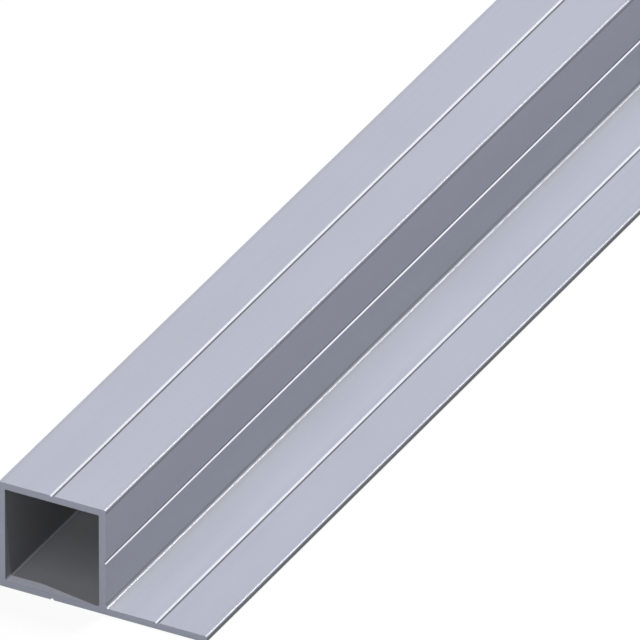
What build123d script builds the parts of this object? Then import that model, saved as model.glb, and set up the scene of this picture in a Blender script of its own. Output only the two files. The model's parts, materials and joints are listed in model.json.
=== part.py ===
from build123d import *
import math
import os

# Square aluminium tube with one flange, extruded in one piece.
# Millimetres. X runs across the section towards the flange, Y along the length, Z up.
# The origin is at the middle of the length and of the overall width, on the underside.

# Driving dimensions
tube_side = 25.4  # outer side of the square tube
wall = 1.5875  # thickness of the tube's four walls
flange_reach = 23.8125  # from the tube's side to the flange's free edge
flange_thickness = 1.5875  # the flange lies flush with the tube's underside
length = 304.8  # one stock length, sawn square at both ends
groove_width = 0.9  # mouth of each drill-guide groove
groove_angle = 90.0  # included angle of the groove's V, in degrees
outer_radius = 0.38  # the tube's and the flange's outer long edges
bore_radius = 0.2  # the four long corners inside the tube
root_radius = 0.6  # inside corner where the tube's side meets the flange

# Dependent sizes
overall_width = tube_side + flange_reach
bore_side = tube_side - 2 * wall
groove_depth = groove_width / 2 / math.tan(math.radians(groove_angle / 2))
largest_share_of_wall = 0.4  # of a plate's thickness that one rounded edge may take up
tip_radius = min(outer_radius, largest_share_of_wall * flange_thickness)
flange_flat_middle = tube_side + (root_radius + flange_reach - tip_radius) / 2


def corners_at(face, points):
    """Return the face's corners that lie nearest to the given points."""
    return [face.vertices().sort_by_distance((*point, 0))[0] for point in points]


def outline():
    """Return the outside of the section: the square with the flange at its foot, edges rounded."""
    square_corners = [(0, 0), (0, tube_side), (tube_side, tube_side)]
    root = (tube_side, flange_thickness)
    flange_tip = [(overall_width, flange_thickness), (overall_width, 0)]
    face = make_face(Polyline(*square_corners, root, *flange_tip, close=True))
    face = fillet(corners_at(face, square_corners), outer_radius)
    face = fillet(corners_at(face, flange_tip), tip_radius)
    return fillet(corners_at(face, [root]), root_radius)


def bore():
    """Return the square hollow of the tube, an even wall inside the outline."""
    middle = tube_side / 2
    return Pos(middle, middle) * RectangleRounded(bore_side, bore_side, bore_radius)


def grooves():
    """Return the V grooves, as diamonds with their middles on the flat faces that they mark."""
    half_width = groove_width / 2
    diamond = [(-half_width, 0), (0, -groove_depth), (half_width, 0), (0, groove_depth)]
    level = make_face(Polyline(*diamond, close=True))
    upright = Rot(Z=90) * level
    middle = tube_side / 2
    tube_top = Pos(middle, tube_side) * level
    tube_underside = Pos(middle, 0) * level
    tube_back = Pos(0, middle) * upright
    tube_front = Pos(tube_side, middle) * upright
    flange_top = Pos(flange_flat_middle, flange_thickness) * level
    return [tube_top, tube_underside, tube_back, tube_front, flange_top]


def section():
    """Return the whole cross-section, centred on the overall width and standing on the axis."""
    face = outline() - bore()
    for groove in grooves():
        face -= groove
    return Pos(-overall_width / 2, 0) * face


def flanged_tube():
    """Return the tube: the section drawn upright in XZ and extruded both ways along Y."""
    return extrude(Plane.XZ * section(), length / 2, both=True)


os.makedirs("parts", exist_ok=True)
export_step(flanged_tube(), "parts/flanged_tube.step")
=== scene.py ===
"""Dresses a length of flanged square tube as satin anodised, sawn aluminium stock on a pale studio floor."""

import json
import logging
import math
from dataclasses import dataclass, field
from enum import Enum
from typing import Any, Optional, Union

import bmesh
import bpy
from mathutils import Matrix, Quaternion, Vector


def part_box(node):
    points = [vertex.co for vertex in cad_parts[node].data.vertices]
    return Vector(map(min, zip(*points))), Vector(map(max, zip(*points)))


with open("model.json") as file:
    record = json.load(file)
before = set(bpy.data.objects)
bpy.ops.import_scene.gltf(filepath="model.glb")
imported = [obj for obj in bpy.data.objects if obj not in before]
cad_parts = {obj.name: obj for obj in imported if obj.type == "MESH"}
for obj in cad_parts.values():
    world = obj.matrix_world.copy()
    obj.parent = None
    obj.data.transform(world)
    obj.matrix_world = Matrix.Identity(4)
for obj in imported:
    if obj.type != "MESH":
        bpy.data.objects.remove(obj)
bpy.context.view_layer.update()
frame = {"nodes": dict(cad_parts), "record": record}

LOG = logging.getLogger("flanged_tube")
MILLIMETRES = 1000.0  # in one metre
NOISE_MIDDLE = 0.5
NOISE_GAIN = 4.0  # a noise stays mostly within a quarter of its middle

Colour = tuple[float, float, float]
Key = Union[str, int]  # a socket's name or number
Operand = Union["Signal", float]
Paint = Union["Signal", tuple[float, float, float, float]]


class Maths(Enum):
    """What a Math node does with its operands."""

    ADD = "ADD"
    SUBTRACT = "SUBTRACT"
    MULTIPLY = "MULTIPLY"
    POWER = "POWER"
    ABSOLUTE = "ABSOLUTE"
    SINE = "SINE"


class Signal:
    """A value that varies over a surface, with the arithmetic that adds its Math nodes."""

    def __init__(self, graph: "ShaderGraph", socket: Optional[bpy.types.NodeSocket]) -> None:
        """Wrap one output socket.

        Args:
            graph: The graph that the socket belongs to.
            socket: The output socket that carries the value, or None for a node that has no output.
        """
        self.graph = graph
        self.socket = socket

    def sibling(self, output: Key) -> "Signal":
        """Return another output of the node that self comes from."""
        return Signal(self.graph, self.socket.node.outputs[output])

    def split(self) -> tuple["Signal", "Signal", "Signal"]:
        """Return the three components of self, a vector."""
        first = self.graph.add("ShaderNodeSeparateXYZ", {}, {0: self})
        return first, first.sibling(1), first.sibling(2)

    def scaled(self, factor: Operand) -> "Signal":
        """Return self, a vector or a colour, times a factor."""
        return self.graph.add("ShaderNodeVectorMath", {"operation": "SCALE"}, {0: self, "Scale": factor})

    def rise(self, start: float, end: float) -> "Signal":
        """Find a smooth step of self.

        Args:
            start: Where the step is still 0.
            end: Where the step has reached 1. It may be lower than start.

        Returns:
            The step, always between 0 and 1.
        """
        low, high = sorted((start, end))
        limits = {"Value": self, "From Min": low, "From Max": high}
        step = self.graph.add("ShaderNodeMapRange", {"interpolation_type": "SMOOTHSTEP"}, limits)
        return step if start < end else 1 - step

    def sine(self) -> "Signal":
        """Return the sine of self, in radians."""
        return self._maths(Maths.SINE, self)

    def __add__(self, other: Operand) -> "Signal":
        """Return self + other."""
        return self._maths(Maths.ADD, self, other)

    __radd__ = __add__

    def __sub__(self, other: Operand) -> "Signal":
        """Return self - other."""
        return self._maths(Maths.SUBTRACT, self, other)

    def __rsub__(self, other: Operand) -> "Signal":
        """Return other - self."""
        return self._maths(Maths.SUBTRACT, other, self)

    def __mul__(self, other: Operand) -> "Signal":
        """Return self * other."""
        return self._maths(Maths.MULTIPLY, self, other)

    __rmul__ = __mul__

    def __pow__(self, exponent: float) -> "Signal":
        """Return self to the power of the exponent."""
        return self._maths(Maths.POWER, self, exponent)

    def __abs__(self) -> "Signal":
        """Return the size of self without its sign."""
        return self._maths(Maths.ABSOLUTE, self)

    def _maths(self, operation: Maths, *operands: Operand) -> "Signal":
        """Return the result of a Math node on the operands, in their order."""
        return self.graph.add("ShaderNodeMath", {"operation": operation.value}, dict(enumerate(operands)))


class ShaderGraph:
    """The node tree of one material or world, built by expressions."""

    MIX_BELOW, MIX_ABOVE, MIX_RESULT = 6, 7, 2  # a Mix node's colour sockets, whose names aren't unique

    def __init__(self, tree: bpy.types.NodeTree) -> None:
        """Start from an empty tree.

        Args:
            tree: The tree to fill. Its present nodes are deleted.
        """
        self.tree = tree
        self.tree.nodes.clear()

    def add(self, kind: str, settings: dict[str, Any], inputs: dict[Key, Any], output: Key = 0) -> Signal:
        """Add a node, set it up and link it.

        Args:
            kind: The node's type, as Blender names it.
            settings: Its properties, which are set first.
            inputs: Its sockets' values or links, by name or number.
            output: The output socket that is wanted, by name or number.

        Returns:
            That output, ready for more arithmetic.
        """
        node = self.tree.nodes.new(kind)
        for name, value in settings.items():
            setattr(node, name, value)
        for key, value in inputs.items():
            if isinstance(value, Signal):
                self.tree.links.new(value.socket, node.inputs[key])
            else:
                node.inputs[key].default_value = value
        return Signal(self, node.outputs[output] if len(node.outputs) else None)

    def layer(self, amount: Operand, below: Paint, above: Paint) -> Signal:
        """Lay one colour over another.

        Args:
            amount: How much of the upper colour shows, from 0 to 1.
            below: The lower colour.
            above: The upper colour.

        Returns:
            The mixed colour.
        """
        settings = {"data_type": "RGBA", "blend_type": "MIX"}
        inputs = {"Factor": amount, self.MIX_BELOW: below, self.MIX_ABOVE: above}
        return self.add("ShaderNodeMix", settings, inputs, output=self.MIX_RESULT)


def solid(colour: Colour) -> tuple[float, float, float, float]:
    """Return the colour with full alpha, as colour sockets take it."""
    return (*colour, 1.0)


@dataclass(frozen=True)
class TubeSizes:
    """Where the tube's surfaces lie, in millimetres in the frame.

    Attributes:
        low: The lowest corner of the whole extrusion.
        high: Its highest corner.
        bore_low: The lowest corner of the stated opening inside the tube.
        opening_clearance: How far that opening stays clear of the walls.
        root_radius: The radius of the inner corner between the tube and its flange.
        tip_radius: The radius of the outer long edges.
    """

    low: Vector
    high: Vector
    bore_low: Vector
    opening_clearance: float = 0.1
    root_radius: float = 0.6
    tip_radius: float = 0.38

    @classmethod
    def from_frame(cls, node: str, opening: str) -> "TubeSizes":
        """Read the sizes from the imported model.

        Args:
            node: The tube's node.
            opening: The name of the record's opening that fills the bore.

        Returns:
            The sizes in millimetres.
        """
        low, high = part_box(node)
        boxes = {entry["name"]: entry["box_m"] for entry in frame["record"]["physics"]["openings"]}
        bore_low, _ = boxes[opening]
        return cls(low * MILLIMETRES, high * MILLIMETRES, Vector(bore_low) * MILLIMETRES)

    @property
    def tube_side(self) -> float:
        """The outer side of the square tube."""
        return self.high.z - self.low.z

    @property
    def wall(self) -> float:
        """The thickness of the tube's walls and of its flange."""
        return self.bore_low.z - self.opening_clearance - self.low.z

    @property
    def half_bore(self) -> float:
        """Half the inner side of the tube."""
        return self.tube_side / 2 - self.wall

    @property
    def middle_x(self) -> float:
        """The middle of the tube's width, where its upper and lower grooves run."""
        return self.low.x + self.tube_side / 2

    @property
    def middle_z(self) -> float:
        """Half the tube's height, where the grooves of its sides run."""
        return self.low.z + self.tube_side / 2

    @property
    def right_x(self) -> float:
        """The tube's side that carries the flange."""
        return self.low.x + self.tube_side

    @property
    def flange_top(self) -> float:
        """The flange's upper face."""
        return self.low.z + self.wall

    @property
    def flange_middle(self) -> float:
        """The middle of the flange's flat top, where its groove runs."""
        return (self.right_x + self.root_radius + self.high.x - self.tip_radius) / 2


@dataclass(frozen=True)
class Place:
    """A place on the tube and the way its surface faces.

    Attributes:
        x: Its place across the tube, in millimetres.
        y: Its place along the tube, in millimetres.
        z: Its height, in millimetres.
        facing_x: How far the surface faces the flange's side, from -1 to 1.
        facing_z: How far the surface faces up, from -1 to 1.
        metres: The whole place as one vector, in metres.
    """

    x: Signal
    y: Signal
    z: Signal
    facing_x: Signal
    facing_z: Signal
    metres: Signal

    @classmethod
    def on(cls, graph: ShaderGraph) -> "Place":
        """Read the place that is shaded.

        Args:
            graph: The material's graph.

        Returns:
            The place in the tube's own coordinates.
        """
        metres = graph.add("ShaderNodeTexCoord", {}, {}, output="Object")
        facing_x, _, facing_z = metres.sibling("Normal").split()
        x, y, z = metres.scaled(MILLIMETRES).split()
        return cls(x, y, z, facing_x, facing_z, metres)


@dataclass(frozen=True)
class Pattern:
    """A fine pattern in the metal.

    Attributes:
        spacing: About how far apart its marks are, in millimetres.
        tone: How much a mark lightens or darkens the metal.
        run: About how long a mark goes on along the tube, in millimetres, or 0 where it spreads every way.
        gloss: How much a mark changes the roughness.
        depth: How deep a mark is, in millimetres.
        detail: How many finer octaves the marks have.
    """

    spacing: float
    tone: float
    run: float = 0.0
    gloss: float = 0.0
    depth: float = 0.0
    detail: float = 2.0

    def marks(self, graph: ShaderGraph, place: Place) -> Signal:
        """Draw the marks.

        Args:
            graph: The material's graph.
            place: The place on the tube.

        Returns:
            The marks as a number, mostly from -1 to 1.
        """
        fine = MILLIMETRES / self.spacing
        along = MILLIMETRES / (self.run or self.spacing)
        stretched = graph.add("ShaderNodeMapping", {}, {"Vector": place.metres, "Scale": (fine, along, fine)})
        inputs = {"Vector": stretched, "Scale": 1.0, "Detail": self.detail}
        return (graph.add("ShaderNodeTexNoise", {}, inputs) - NOISE_MIDDLE) * NOISE_GAIN


@dataclass(frozen=True)
class BurnishAndHighlight:
    """A burnished, more metallic skin, paler as a painted highlight, on the rounded edges and the grooves'
    slopes where they face up.

    Attributes:
        colour: The burnished metal, paler as a painted highlight, linear.
        roughness: Its roughness.
        metallic: How much of it reflects as metal.
        start: How sloped a surface is where the skin starts, from 0 for flat to 1 for halfway.
        full: How sloped it is where the skin is complete.
    """

    colour: Colour = (0.80, 0.83, 0.90)
    roughness: float = 0.22
    metallic: float = 1.0
    start: float = 0.50
    full: float = 0.90

    def mask(self, place: Place) -> Signal:
        """Return 1 where the surface slopes up halfway between level and upright, where the painted highlight
        goes, and 0 on the flat faces.
        """
        slope = abs(place.facing_x) * place.facing_z * 2  # 1 at 45 degrees
        return slope.rise(self.start, self.full)


@dataclass(frozen=True)
class GrooveRoots:
    """Painted shade along the bottom of each drill-guide groove, which is also made rougher there.

    Attributes:
        shade: How much of the metal's brightness the painted shade leaves there.
        roughness: The roughness there.
        half_width: Half the shaded line's width on a level face, in millimetres.
        upright_half_width: The same on an upright face.
        lip: How far it spreads over the lip of a level face's groove, on the flange's side, in millimetres.
        fade: How soft the line's first border is, as a share of its half width.
        last_fade: How soft its other border, the one at the lip, is, as a share of its distance.
        reach: How far below a face the line can lie, in millimetres.
    """

    shade: float = 0.33
    roughness: float = 0.75
    half_width: float = 0.105
    upright_half_width: float = 0.165
    lip: float = 0.6
    fade: float = 0.4
    last_fade: float = 0.1
    reach: float = 0.7

    def mask(self, place: Place, sizes: TubeSizes) -> Signal:
        """Find where the grooves' painted shade goes: their bottoms and some lips.

        Args:
            place: The place on the tube.
            sizes: The tube's sizes, which say where the grooves run.

        Returns:
            1 at the bottom of every groove, and over a level groove's lip on the flange's side, and 0
            elsewhere.
        """
        across, height = place.x - sizes.middle_x, place.z - sizes.middle_z
        top_line = self._line(across, self.half_width, self.lip)
        foot_line = self._line(across, self.half_width, self.half_width)
        side_line = self._line(height, self.upright_half_width, self.upright_half_width)
        flange_line = self._line(place.x - sizes.flange_middle, self.half_width, self.lip)

        top = top_line * self._near(place.z, sizes.high.z, 1)
        foot = foot_line * self._near(place.z, sizes.low.z, -1)
        right = side_line * self._near(place.x, sizes.right_x, 1)
        left = side_line * self._near(place.x, sizes.low.x, -1)
        flange = flange_line * self._near(place.z, sizes.flange_top, 1)
        return top + foot + right + left + flange

    def _line(self, across: Signal, before: float, after: float) -> Signal:
        """Return 1 from so far before a groove's middle to so far after it, in millimetres, or else 0."""
        begun = across.rise(-before * (1 + self.fade), -before * (1 - self.fade))
        return begun * across.rise(after * (1 + self.last_fade), after * (1 - self.last_fade))

    def _near(self, along: Signal, face: float, outward: int) -> Signal:
        """Return 1 from a face outwards, 1 or -1 along its axis, and 0 further inside than the reach."""
        return along.rise(face - outward * self.reach, face - outward * self.reach / 2)


@dataclass(frozen=True)
class EdgeBands:
    """Painted shade: darker bands beside the long edges, stronger on upright faces, and a darker free edge of
    the flange.

    Attributes:
        level: How much darker a band is on a level face.
        upright: How much darker it is on an upright face.
        corner: How strong the band round the flange's inner corner is, beside the others.
        start: How far from the edge a band starts, in millimetres.
        end: How far from the edge it ends, in millimetres.
        fade_in: How soft its start is, in millimetres.
        fade_out: How soft its end is, in millimetres.
        free_edge: How much darker the flange's free edge is.
        free_edge_start: How far inside the free edge its painted shade starts, in millimetres.
        free_edge_full: How far inside the free edge it is complete, in millimetres.
    """

    level: float = 0.05
    upright: float = 0.36
    corner: float = 0.6
    start: float = 0.45
    end: float = 1.25
    fade_in: float = 0.2
    fade_out: float = 0.3
    free_edge: float = 0.41
    free_edge_start: float = 0.09
    free_edge_full: float = 0.02

    def darkness(self, place: Place, sizes: TubeSizes) -> Signal:
        """Find how much the painted shade of the bands and the free edge darkens the metal.

        Args:
            place: The place on the tube.
            sizes: The tube's sizes, which say where the edges run.

        Returns:
            The darkness, from 0 to 1.
        """
        bands = self._band(place, sizes.low.x, sizes.high.z) + self._band(place, sizes.right_x, sizes.high.z)
        bands = bands + self._band(place, sizes.right_x, sizes.flange_top) * self.corner
        bands = bands + self._band(place, sizes.high.x, sizes.flange_top)
        strength = self.level + abs(place.facing_x) * (self.upright - self.level)
        free_edge = place.x.rise(sizes.high.x - self.free_edge_start, sizes.high.x - self.free_edge_full)
        return bands * strength + free_edge * self.free_edge

    def _band(self, place: Place, x: float, z: float) -> Signal:
        """Find the band round one long edge.

        Args:
            place: The place on the tube.
            x: Where the edge runs, across the tube, in millimetres.
            z: How high it runs, in millimetres.

        Returns:
            1 in the band and 0 elsewhere.
        """
        distance = ((place.x - x) ** 2 + (place.z - z) ** 2) ** 0.5
        begun = distance.rise(self.start, self.start + self.fade_in)
        return begun * distance.rise(self.end, self.end - self.fade_out)


@dataclass(frozen=True)
class InnerCorner:
    """Painted light round the corner between the tube's side and the flange, painted shade on the side above
    it, and where the corner's painted highlight stops.

    Attributes:
        colour: The paler colour of the painted light in the corner, linear.
        flange_reach: How far over the flange it goes, in millimetres.
        near: How close to the corner's two faces a surface counts as one of them, in millimetres.
        near_fade: How soft that limit is, as a share of it.
        turned_start: How far a surface has to face the faces' way for the skin to start, from 0 to 1.
        turned_full: How far it has to face their way for the skin to be complete.
        side_shade: How much darker the painted shade makes the side than the level faces.
        upright_start: How upright a surface has to be for that shade to start, from 0 to 1.
        upright_full: How upright it has to be for the whole shade.
        bright_height: How far up the corner's fillet its painted highlight line goes, in millimetres.
        bright_fade: How soft the line's upper border is to each side, in millimetres.
    """

    colour: Colour = (0.59, 0.615, 0.68)
    flange_reach: float = 6.5
    near: float = 1.0
    near_fade: float = 0.2
    turned_start: float = 0.5
    turned_full: float = 0.9
    side_shade: float = 0.10
    upright_start: float = 0.8
    upright_full: float = 0.95
    bright_height: float = 0.17
    bright_fade: float = 0.1

    def mask(self, place: Place, sizes: TubeSizes) -> Signal:
        """Find the painted light.

        Args:
            place: The place on the tube.
            sizes: The tube's sizes, which say where the corner runs.

        Returns:
            1 in the corner, falling to 0 over the flange and towards the top of the side.
        """
        from_side = place.x - sizes.right_x
        on_flange = self._turned(place.facing_z) * self._close(place.z - sizes.flange_top)
        on_side = self._turned(place.facing_x) * self._close(from_side)
        below_top = (sizes.high.z - place.z) * (1 / sizes.tube_side)
        return on_flange * from_side.rise(self.flange_reach, self.near) + on_side * below_top

    def shade(self, place: Place) -> Signal:
        """Return how much darker the side's painted shade makes it, and 0 on the other faces."""
        return place.facing_x.rise(self.upright_start, self.upright_full) * self.side_shade

    def fillet_above_highlight(self, place: Place, sizes: TubeSizes) -> Signal:
        """Find the part of the corner's fillet above its painted highlight line.

        Args:
            place: The place on the tube.
            sizes: The tube's sizes, which say how high the flange is.

        Returns:
            1 on the upper part of the fillet and 0 elsewhere.
        """
        height = place.z - sizes.flange_top
        above_line = height.rise(self.bright_height - self.bright_fade, self.bright_height + self.bright_fade)
        return above_line * self._close(height)

    def _turned(self, facing: Signal) -> Signal:
        """Return 1 where the surface faces as one of the corner's faces does, and 0 elsewhere."""
        return facing.rise(self.turned_start, self.turned_full)

    def _close(self, distance: Signal) -> Signal:
        """Return 1 on and just outside one of the corner's faces, and 0 further out."""
        return distance.rise(self.near, self.near * (1 - self.near_fade))


@dataclass(frozen=True)
class BoreSkin:
    """The dull metal inside the tube, with painted shade on its side walls, painted highlights along its
    lower corners, and a wedge of painted light at each end.

    Attributes:
        colour: The dull metal, linear.
        roughness: Its roughness.
        wall_shade: How much darker the painted shade makes the side walls than the lower wall.
        border: Where in the wall's thickness the inside ends, as two shares of it, for the start and the end.
        corner_highlight_colour: The pale colour of the painted highlight along the lower corners, linear.
        corner_highlight_width: How wide that highlight is on the lower wall, in millimetres.
        corner_highlight_height: How high up the corner it goes, in millimetres.
        corner_highlight_fade: How soft its border is to each side, in millimetres.
        wedge_light_colour: The pale colour of the painted light in the bore, linear.
        wedge_light_depth: How deep into the tube the painted light reaches, in millimetres.
        wedge_light_taper: How fast its wedge narrows towards the flange's side, as a slope.
        wedge_light_trace: How much of the painted light shows on the side wall.
        wedge_light_height: How far from a wall the painted light shows, in millimetres.
        wedge_light_fade: How soft its border is to each side, in millimetres.
    """

    colour: Colour = (0.366, 0.37, 0.396)
    roughness: float = 0.6
    wall_shade: float = 0.16
    border: tuple[float, float] = (0.25, 0.75)
    corner_highlight_colour: Colour = (0.52, 0.53, 0.56)
    corner_highlight_width: float = 0.45
    corner_highlight_height: float = 0.25
    corner_highlight_fade: float = 0.1
    wedge_light_colour: Colour = (0.85, 0.89, 1.0)
    wedge_light_depth: float = 2.4
    wedge_light_taper: float = 0.175
    wedge_light_trace: float = 0.25
    wedge_light_height: float = 0.4
    wedge_light_fade: float = 0.15

    def mask(self, place: Place, sizes: TubeSizes) -> Signal:
        """Find the four walls inside the tube.

        Args:
            place: The place on the tube.
            sizes: The tube's sizes, which say where the walls are.

        Returns:
            1 on the walls' inner faces and 0 outside the tube.
        """
        inner, outer = (sizes.half_bore + sizes.wall * share for share in self.border)
        across = abs(place.x - sizes.middle_x).rise(outer, inner)
        return across * abs(place.z - sizes.middle_z).rise(outer, inner)

    def shade(self, place: Place) -> Signal:
        """Return how much darker the side walls' painted shade makes them, and 0 on level ones."""
        return abs(place.facing_x) * self.wall_shade

    def lower_corner_highlights(self, place: Place, sizes: TubeSizes) -> Signal:
        """Find the painted highlights along the lower corners.

        Args:
            place: The place on the tube.
            sizes: The tube's sizes, which say where the bore's corners run.

        Returns:
            1 on the lower wall beside its two corners and 0 elsewhere.
        """
        start = sizes.half_bore - self.corner_highlight_width
        beside_corner = abs(place.x - sizes.middle_x).rise(start - self.corner_highlight_fade, start + self.corner_highlight_fade)
        return beside_corner * self._on_lower_wall(place, sizes, self.corner_highlight_height)

    # Painted light: a pale wedge at each end of the lower wall, narrowing towards the flange's side, with a
    # fainter trace up the side wall.
    def bare(self, place: Place, sizes: TubeSizes) -> Signal:
        """Find the wedges of painted light.

        Args:
            place: The place on the tube.
            sizes: The tube's sizes, which say where the bore's walls and ends are.

        Returns:
            1 on the painted light's wedges on the lower wall, less on its trace up the side wall, and 0
            elsewhere.
        """
        from_end = sizes.high.y - abs(place.y)
        from_left = place.x - (sizes.middle_x - sizes.half_bore)
        from_right = sizes.middle_x + sizes.half_bore - place.x
        from_top = sizes.middle_z + sizes.half_bore - place.z

        within_light_depth = (self.wedge_light_depth - from_end).rise(-self.wedge_light_fade, self.wedge_light_fade)
        light_wedge = within_light_depth * (from_right * self.wedge_light_taper - from_end).rise(0.0, 2 * self.wedge_light_fade)
        trace_slope = self.wedge_light_depth / (2 * sizes.half_bore)
        trace = (from_top * trace_slope - from_end).rise(-self.wedge_light_fade, self.wedge_light_fade) * self.wedge_light_trace
        left_wall = from_left.rise(self.wedge_light_height, self.wedge_light_height / 2)
        return light_wedge * self._on_lower_wall(place, sizes, self.wedge_light_height) + trace * left_wall

    def _on_lower_wall(self, place: Place, sizes: TubeSizes, height: float) -> Signal:
        """Return 1 on the lower wall, and 0 from the height above it."""
        above = place.z - (sizes.middle_z - sizes.half_bore)
        return above.rise(height, height / 2)


@dataclass(frozen=True)
class SawnEnd:
    """The bare face that a circular saw leaves, with its arcs.

    Attributes:
        colour: The bare metal, linear.
        roughness: The face's roughness.
        skin: How far inside the cut face its colour starts, in millimetres.
        blade_radius: The saw blade's radius, in millimetres.
        hub: Where the blade's hub is, across and up from the middle of the extrusion's foot, in blade radii.
        pitch: The spacing of the arcs, in millimetres.
        wander: How far the arcs stray from being even, in radians.
        tone: How much an arc lightens or darkens the metal.
        gloss: How much an arc changes the roughness.
        depth: How deep an arc is, in millimetres.
    """

    colour: Colour = (0.337, 0.359, 0.437)
    roughness: float = 0.5
    skin: float = 0.02
    blade_radius: float = 127.0
    hub: tuple[float, float] = (-0.55, 0.84)
    pitch: float = 0.55
    wander: float = 3.0
    tone: float = 0.04
    gloss: float = 0.03
    depth: float = 0.004

    def mask(self, place: Place, sizes: TubeSizes) -> Signal:
        """Return 1 on both cut faces and 0 elsewhere."""
        return abs(place.y).rise(sizes.high.y - self.skin, sizes.high.y - self.skin / 2)

    def arcs(self, place: Place, stray: Signal) -> Signal:
        """Draw the saw's arcs.

        Args:
            place: The place on the tube.
            stray: A slow noise that keeps the arcs from being even.

        Returns:
            The arcs as a number from -1 to 1.
        """
        across = place.x - self.hub[0] * self.blade_radius
        up = place.z - self.hub[1] * self.blade_radius
        from_hub = (across ** 2 + up ** 2) ** 0.5
        return (from_hub * (2 * math.pi / self.pitch) + stray * self.wander).sine()


@dataclass(frozen=True)
class Zones:
    """Where each finish shows, as masks from 0 to 1.

    Attributes:
        cut: The sawn ends.
        skin: All that isn't cut.
        bore: The walls inside the tube.
        outside: The extrusion's outer faces.
        root: The bottoms of the grooves, which get painted shade.
        edge: The burnished edges and slopes, which carry a painted highlight.
    """

    cut: Signal
    skin: Signal
    bore: Signal
    outside: Signal
    root: Signal
    edge: Signal


@dataclass(frozen=True)
class Marks:
    """The fine marks in the metal, as numbers mostly from -1 to 1.

    Attributes:
        bands: Broad streaks of the die.
        lines: Fine lines of the die.
        grain: The etched grain.
        clouds: Slow changes from handling.
        arcs: The saw's arcs.
    """

    bands: Signal
    lines: Signal
    grain: Signal
    clouds: Signal
    arcs: Signal


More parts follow.
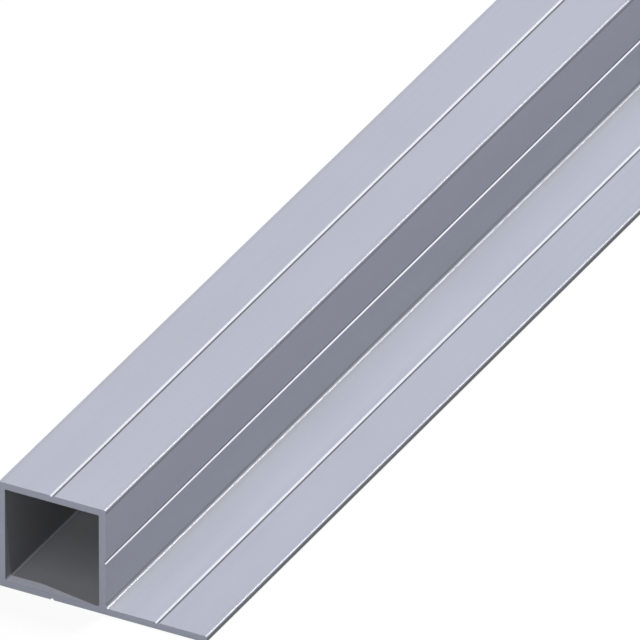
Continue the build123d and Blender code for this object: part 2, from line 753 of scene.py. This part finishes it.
@dataclass(frozen=True)
class SatinAnodised:
    """Clear satin anodised aluminium, as extruded, with burnished edges and bare sawn ends, and with painted
    light, shade and highlights in its colour.

    Attributes:
        name: The material's name.
        colour: The anodised metal, linear.
        roughness: Its roughness.
        metallic: How much of it reflects as metal.
        bands: Broad streaks of the die.
        lines: Fine lines of the die.
        grain: The etched grain.
        clouds: Slow changes from handling.
        burnish_and_highlight: The burnished skin of edges and slopes, with its painted highlight.
        roots: The painted shade and the rougher metal at the bottoms of the grooves.
        edges: The painted shade beside the long edges and on the flange's free edge.
        corner: The painted light round the flange's inner corner and the painted shade on the side.
        inside: The skin inside the tube, with its painted shade, highlights and light.
        end: The sawn ends.
    """

    name: str = "satin_anodised_aluminium"
    colour: Colour = (0.505, 0.525, 0.62)
    roughness: float = 0.42
    metallic: float = 0.22
    bands: Pattern = Pattern(spacing=3.2, run=900.0, tone=0.012, gloss=0.02)
    lines: Pattern = Pattern(spacing=0.45, run=160.0, tone=0.015, depth=0.0006)
    grain: Pattern = Pattern(spacing=0.16, tone=0.006, depth=0.0006)
    clouds: Pattern = Pattern(spacing=45.0, tone=0.012, gloss=0.02)
    burnish_and_highlight: BurnishAndHighlight = field(default_factory=BurnishAndHighlight)
    roots: GrooveRoots = field(default_factory=GrooveRoots)
    edges: EdgeBands = field(default_factory=EdgeBands)
    corner: InnerCorner = field(default_factory=InnerCorner)
    inside: BoreSkin = field(default_factory=BoreSkin)
    end: SawnEnd = field(default_factory=SawnEnd)

    def build(self, sizes: TubeSizes) -> bpy.types.Material:
        """Build the material.

        Args:
            sizes: The tube's sizes, which say where its ends, grooves and bore are.

        Returns:
            The finished material.
        """
        material = bpy.data.materials.new(self.name)
        material.use_nodes = True
        graph = ShaderGraph(material.node_tree)
        place = Place.on(graph)
        zones = self._find_zones(place, sizes)
        marks = self._draw_marks(graph, place)

        colour = self._colour(graph, place, sizes, zones)
        sockets = {
            "Base Color": colour.scaled(self._tone(zones, marks) * (1 - self._shade(place, sizes, zones))),
            "Roughness": self._roughness(zones, marks),
            "Metallic": self.metallic + zones.edge * (self.burnish_and_highlight.metallic - self.metallic),
            "Normal": self._normal(graph, zones, marks),
        }
        shader = graph.add("ShaderNodeBsdfPrincipled", {}, sockets)
        graph.add("ShaderNodeOutputMaterial", {}, {"Surface": shader})
        return material

    def _find_zones(self, place: Place, sizes: TubeSizes) -> Zones:
        """Find where each finish shows.

        Args:
            place: The place on the tube.
            sizes: The tube's sizes.

        Returns:
            The zones' masks.
        """
        cut = self.end.mask(place, sizes)
        skin = 1 - cut
        bore = self.inside.mask(place, sizes) * skin
        outside = skin * (1 - bore)
        root = self.roots.mask(place, sizes) * skin
        # The burnished slopes carry the painted highlight; it stops short of the grooves' painted shade and
        # of the fillet above the corner's highlight line.
        edge = self.burnish_and_highlight.mask(place) * outside * (1 - root) * (1 - self.corner.fillet_above_highlight(place, sizes))
        return Zones(cut, skin, bore, outside, root, edge)

    def _draw_marks(self, graph: ShaderGraph, place: Place) -> Marks:
        """Draw the fine marks.

        Args:
            graph: The material's graph.
            place: The place on the tube.

        Returns:
            The marks.
        """
        patterns = (self.bands, self.lines, self.grain, self.clouds)
        bands, lines, grain, clouds = (pattern.marks(graph, place) for pattern in patterns)
        return Marks(bands, lines, grain, clouds, self.end.arcs(place, clouds))

    def _colour(self, graph: ShaderGraph, place: Place, sizes: TubeSizes, zones: Zones) -> Signal:
        """Lay the finishes' colours, and the painted light and highlights, over each other.

        Args:
            graph: The material's graph.
            place: The place on the tube.
            sizes: The tube's sizes.
            zones: Where each finish shows.

        Returns:
            The colour, before its marks and painted shade.
        """
        # Painted light: the corner's paler colour, the bore's pale lower corners and its wedges, and the
        # burnished slopes' paler colour as a painted highlight.
        layers = (
            (self.corner.mask(place, sizes), self.corner.colour),
            (zones.bore, self.inside.colour),
            (self.inside.lower_corner_highlights(place, sizes) * zones.bore, self.inside.corner_highlight_colour),
            (self.inside.bare(place, sizes) * zones.bore, self.inside.wedge_light_colour),
            (zones.edge, self.burnish_and_highlight.colour),
            (zones.cut, self.end.colour),
        )
        colour: Paint = solid(self.colour)
        for amount, upper in layers:
            colour = graph.layer(amount, colour, solid(upper))
        return colour

    def _tone(self, zones: Zones, marks: Marks) -> Signal:
        """Find how much the marks lighten or darken the metal.

        Args:
            zones: Where each finish shows.
            marks: The fine marks.

        Returns:
            The tone, a factor of about 1.
        """
        everywhere = 1 + marks.clouds * self.clouds.tone + marks.grain * self.grain.tone
        extruded = (marks.bands * self.bands.tone + marks.lines * self.lines.tone) * zones.skin
        return everywhere + extruded + marks.arcs * zones.cut * self.end.tone

    def _shade(self, place: Place, sizes: TubeSizes, zones: Zones) -> Signal:
        """Find the painted shade: how much darker the grooves' bottoms, the bands, the side and the bore's
        walls are.

        Args:
            place: The place on the tube.
            sizes: The tube's sizes.
            zones: Where each finish shows.

        Returns:
            The darkness, from 0 to 1.
        """
        # Painted shade at the bottoms of the grooves.
        groove = zones.root * (1 - self.roots.shade)
        # Painted shade of the bands, the free edge and the side.
        faces = (self.edges.darkness(place, sizes) + self.corner.shade(place)) * zones.outside
        return groove + faces + self.inside.shade(place) * zones.bore

    def _roughness(self, zones: Zones, marks: Marks) -> Signal:
        """Find the roughness of the finishes and their marks.

        Args:
            zones: Where each finish shows.
            marks: The fine marks.

        Returns:
            The roughness, from 0 to 1.
        """
        marked = marks.bands * self.bands.gloss + marks.clouds * self.clouds.gloss
        roughness = self.roughness + marked + marks.arcs * zones.cut * self.end.gloss
        finishes = (
            (zones.bore, self.inside.roughness),
            (zones.edge, self.burnish_and_highlight.roughness),
            (zones.root, self.roots.roughness),
            (zones.cut, self.end.roughness),
        )
        for amount, value in finishes:
            roughness = roughness + amount * (value - self.roughness)
        return roughness

    def _normal(self, graph: ShaderGraph, zones: Zones, marks: Marks) -> Signal:
        """Press the lines, the grain and the saw's arcs into the surface.

        Args:
            graph: The material's graph.
            zones: Where each finish shows.
            marks: The fine marks.

        Returns:
            The normal of the marked surface.
        """
        height = marks.lines * zones.skin * self.lines.depth + marks.grain * self.grain.depth
        height = height + marks.arcs * zones.cut * self.end.depth
        inputs = {"Height": height, "Distance": 1 / MILLIMETRES, "Strength": 1.0}
        return graph.add("ShaderNodeBump", {}, inputs)


@dataclass
class FlangedTube:
    """The extrusion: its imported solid, dressed in its finish.

    Attributes:
        node: The solid's node.
        opening: The record's opening that fills its bore.
        finish: Its finish.
    """

    node: str = "flanged_tube"
    opening: str = "bore"
    finish: SatinAnodised = field(default_factory=SatinAnodised)

    def dress(self) -> None:
        """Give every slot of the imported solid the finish."""
        sizes = TubeSizes.from_frame(self.node, self.opening)
        tube = frame["nodes"][self.node]
        material = self.finish.build(sizes)
        for slot in tube.material_slots:
            slot.material = material
        LOG.info("%s: %.1f mm long, dressed in %s", self.node, sizes.high.y - sizes.low.y, material.name)


@dataclass(frozen=True)
class PaleFloor:
    """The finish of the floor: pale and matt, white to the camera, with the tube's soft shadow kept.

    Attributes:
        name: The material's name.
        colour: The matt floor, linear.
        white_share: How much of what the camera sees is plain white.
        white_strength: How bright that white is.
    """

    name: str = "pale_floor"
    colour: Colour = (0.4, 0.4, 0.4)
    white_share: float = 0.7
    white_strength: float = 1.30

    def build(self) -> bpy.types.Material:
        """Build the material.

        Returns:
            The finished material.
        """
        material = bpy.data.materials.new(self.name)
        material.use_nodes = True
        graph = ShaderGraph(material.node_tree)
        matt = graph.add("ShaderNodeBsdfDiffuse", {}, {"Color": solid(self.colour)})
        white = graph.add("ShaderNodeEmission", {}, {"Strength": self.white_strength})
        camera_ray = graph.add("ShaderNodeLightPath", {}, {}, output="Is Camera Ray")
        seen = camera_ray + camera_ray.sibling("Is Glossy Ray") + camera_ray.sibling("Is Transmission Ray")
        share = seen.rise(0.0, 1.0) * self.white_share
        mixed = graph.add("ShaderNodeMixShader", {}, {0: share, 1: matt, 2: white})
        graph.add("ShaderNodeOutputMaterial", {}, {"Surface": mixed})
        return material


@dataclass(frozen=True)
class Softbox:
    """One soft lamp, aimed at the middle of the tube.

    Attributes:
        name: The lamp's name.
        toward: The direction of the lamp from the tube.
        radiance: How bright its surface is, where 1 is white.
        width: Its width, in metres.
        height: Its height, in metres.
        roll: How far it is turned about its own aim, in degrees.
        distance: How far away it is, in metres.
    """

    name: str
    toward: tuple[float, float, float]
    radiance: float
    width: float = 1.6
    height: float = 1.6
    roll: float = 0.0
    distance: float = 3.0

    def build(self) -> bpy.types.Object:
        """Add the lamp to the scene.

        Returns:
            The lamp's object.
        """
        lamp = bpy.data.lights.new(self.name, "AREA")
        lamp.shape = "RECTANGLE"
        lamp.size, lamp.size_y = self.width, self.height
        lamp.energy = self.radiance * math.pi * self.width * self.height
        holder = bpy.data.objects.new(self.name, lamp)
        away = Vector(self.toward).normalized()
        holder.location = away * self.distance
        holder.rotation_mode = "QUATERNION"
        roll = Quaternion((0.0, 0.0, 1.0), math.radians(self.roll))
        holder.rotation_quaternion = away.to_track_quat("Z", "Y") @ roll
        holder.visible_camera = False
        bpy.context.scene.collection.objects.link(holder)
        return holder


@dataclass
class Studio:
    """The floor, the lamps and the surroundings.

    Attributes:
        floor_side: The side of the square floor, in metres.
        floor_finish: Its finish.
        lamps: The lamps.
        sky: How bright the room above the floor is.
        beyond_floor: How bright it is below the horizon, where the floor ends.
        horizon: How far above and below the horizon one turns into the other.
    """

    floor_side: float = 40.0
    floor_finish: PaleFloor = field(default_factory=PaleFloor)
    lamps: tuple[Softbox, ...] = (
        Softbox("overhead", toward=(0.0, 0.47, 0.88), radiance=4.5),
        Softbox("overhead_strip", toward=(0.065, 0.465, 0.88), radiance=7.2, width=0.8),
        Softbox("front", toward=(0.065, -0.91, 0.41), radiance=10.2, width=0.8, height=1.2),
        Softbox("front_high", toward=(0.03, -0.55, 0.83), radiance=1.9),
        Softbox("rim", toward=(0.49, 0.76, 0.43), radiance=1.2, width=1.8, height=0.95, roll=59.0),
        Softbox("back_left", toward=(-0.40, 0.76, 0.52), radiance=0.4),
    )
    sky: float = 0.06
    beyond_floor: float = 1.05
    horizon: float = 0.001

    def build(self) -> None:
        """Add the floor, the lamps and the world, and set the view's colours."""
        self._lay_floor()
        for lamp in self.lamps:
            lamp.build()
            LOG.info("lamp %s: radiance %.2f", lamp.name, lamp.radiance)
        self._light_world()
        bpy.context.scene.view_settings.view_transform = "Standard"

    def _lay_floor(self) -> None:
        """Lay a level floor under the tube."""
        mesh = bpy.data.meshes.new("floor")
        shape = bmesh.new()
        bmesh.ops.create_grid(shape, x_segments=1, y_segments=1, size=self.floor_side / 2)
        shape.to_mesh(mesh)
        shape.free()
        floor = bpy.data.objects.new("floor", mesh)
        mesh.materials.append(self.floor_finish.build())
        bpy.context.scene.collection.objects.link(floor)
        LOG.info("floor: %.0f m square", self.floor_side)

    def _light_world(self) -> None:
        """Fill the room with an even light above the floor, and white where the floor ends."""
        world = bpy.data.worlds.new("studio")
        world.use_nodes = True
        bpy.context.scene.world = world
        graph = ShaderGraph(world.node_tree)
        _, _, up = graph.add("ShaderNodeTexCoord", {}, {}, output="Generated").split()
        strength = self.sky + up.rise(self.horizon, -self.horizon) * (self.beyond_floor - self.sky)
        light = graph.add("ShaderNodeBackground", {}, {"Strength": strength, "Color": solid((1.0, 1.0, 1.0))})
        graph.add("ShaderNodeOutputWorld", {}, {"Surface": light})


@dataclass(frozen=True)
class LongLensCamera:
    """A camera far away, so that the tube's long edges stay all but parallel.

    Attributes:
        azimuth: The camera's bearing round the tube, in degrees. At 0 it looks along +Y.
        elevation: Its height above the horizon, in degrees.
        distance: How far it stands from the point that it looks at, in metres.
        lens: Its focal length, in millimetres.
        aim: The point that it looks at, in metres.
        clip: The nearest and the farthest distance that it sees, in metres.
    """

    azimuth: float = 27.923
    elevation: float = 31.126
    distance: float = 6.3676
    lens: float = 1700.0
    aim: tuple[float, float, float] = (-0.005417, -0.045530, 0.012937)
    clip: tuple[float, float] = (0.1, 100.0)

    def build(self) -> bpy.types.Object:
        """Add the camera and make it the scene's own.

        Returns:
            The camera's object.
        """
        turn, rise = math.radians(self.azimuth), math.radians(self.elevation)
        back = Vector((math.sin(turn) * math.cos(rise), -math.cos(turn) * math.cos(rise), math.sin(rise)))
        camera = bpy.data.cameras.new("camera")
        camera.lens = self.lens
        camera.clip_start, camera.clip_end = self.clip
        holder = bpy.data.objects.new("camera", camera)
        holder.location = Vector(self.aim) + back * self.distance
        holder.rotation_mode = "QUATERNION"
        holder.rotation_quaternion = (-back).to_track_quat("-Z", "Y")
        bpy.context.scene.collection.objects.link(holder)
        bpy.context.scene.camera = holder
        return holder


def main() -> None:
    """Build the camera, the tube's finish and the studio."""
    logging.basicConfig(level=logging.INFO, format="%(message)s")
    LongLensCamera().build()
    FlangedTube().dress()
    Studio().build()


if __name__ == "__main__":
    main()
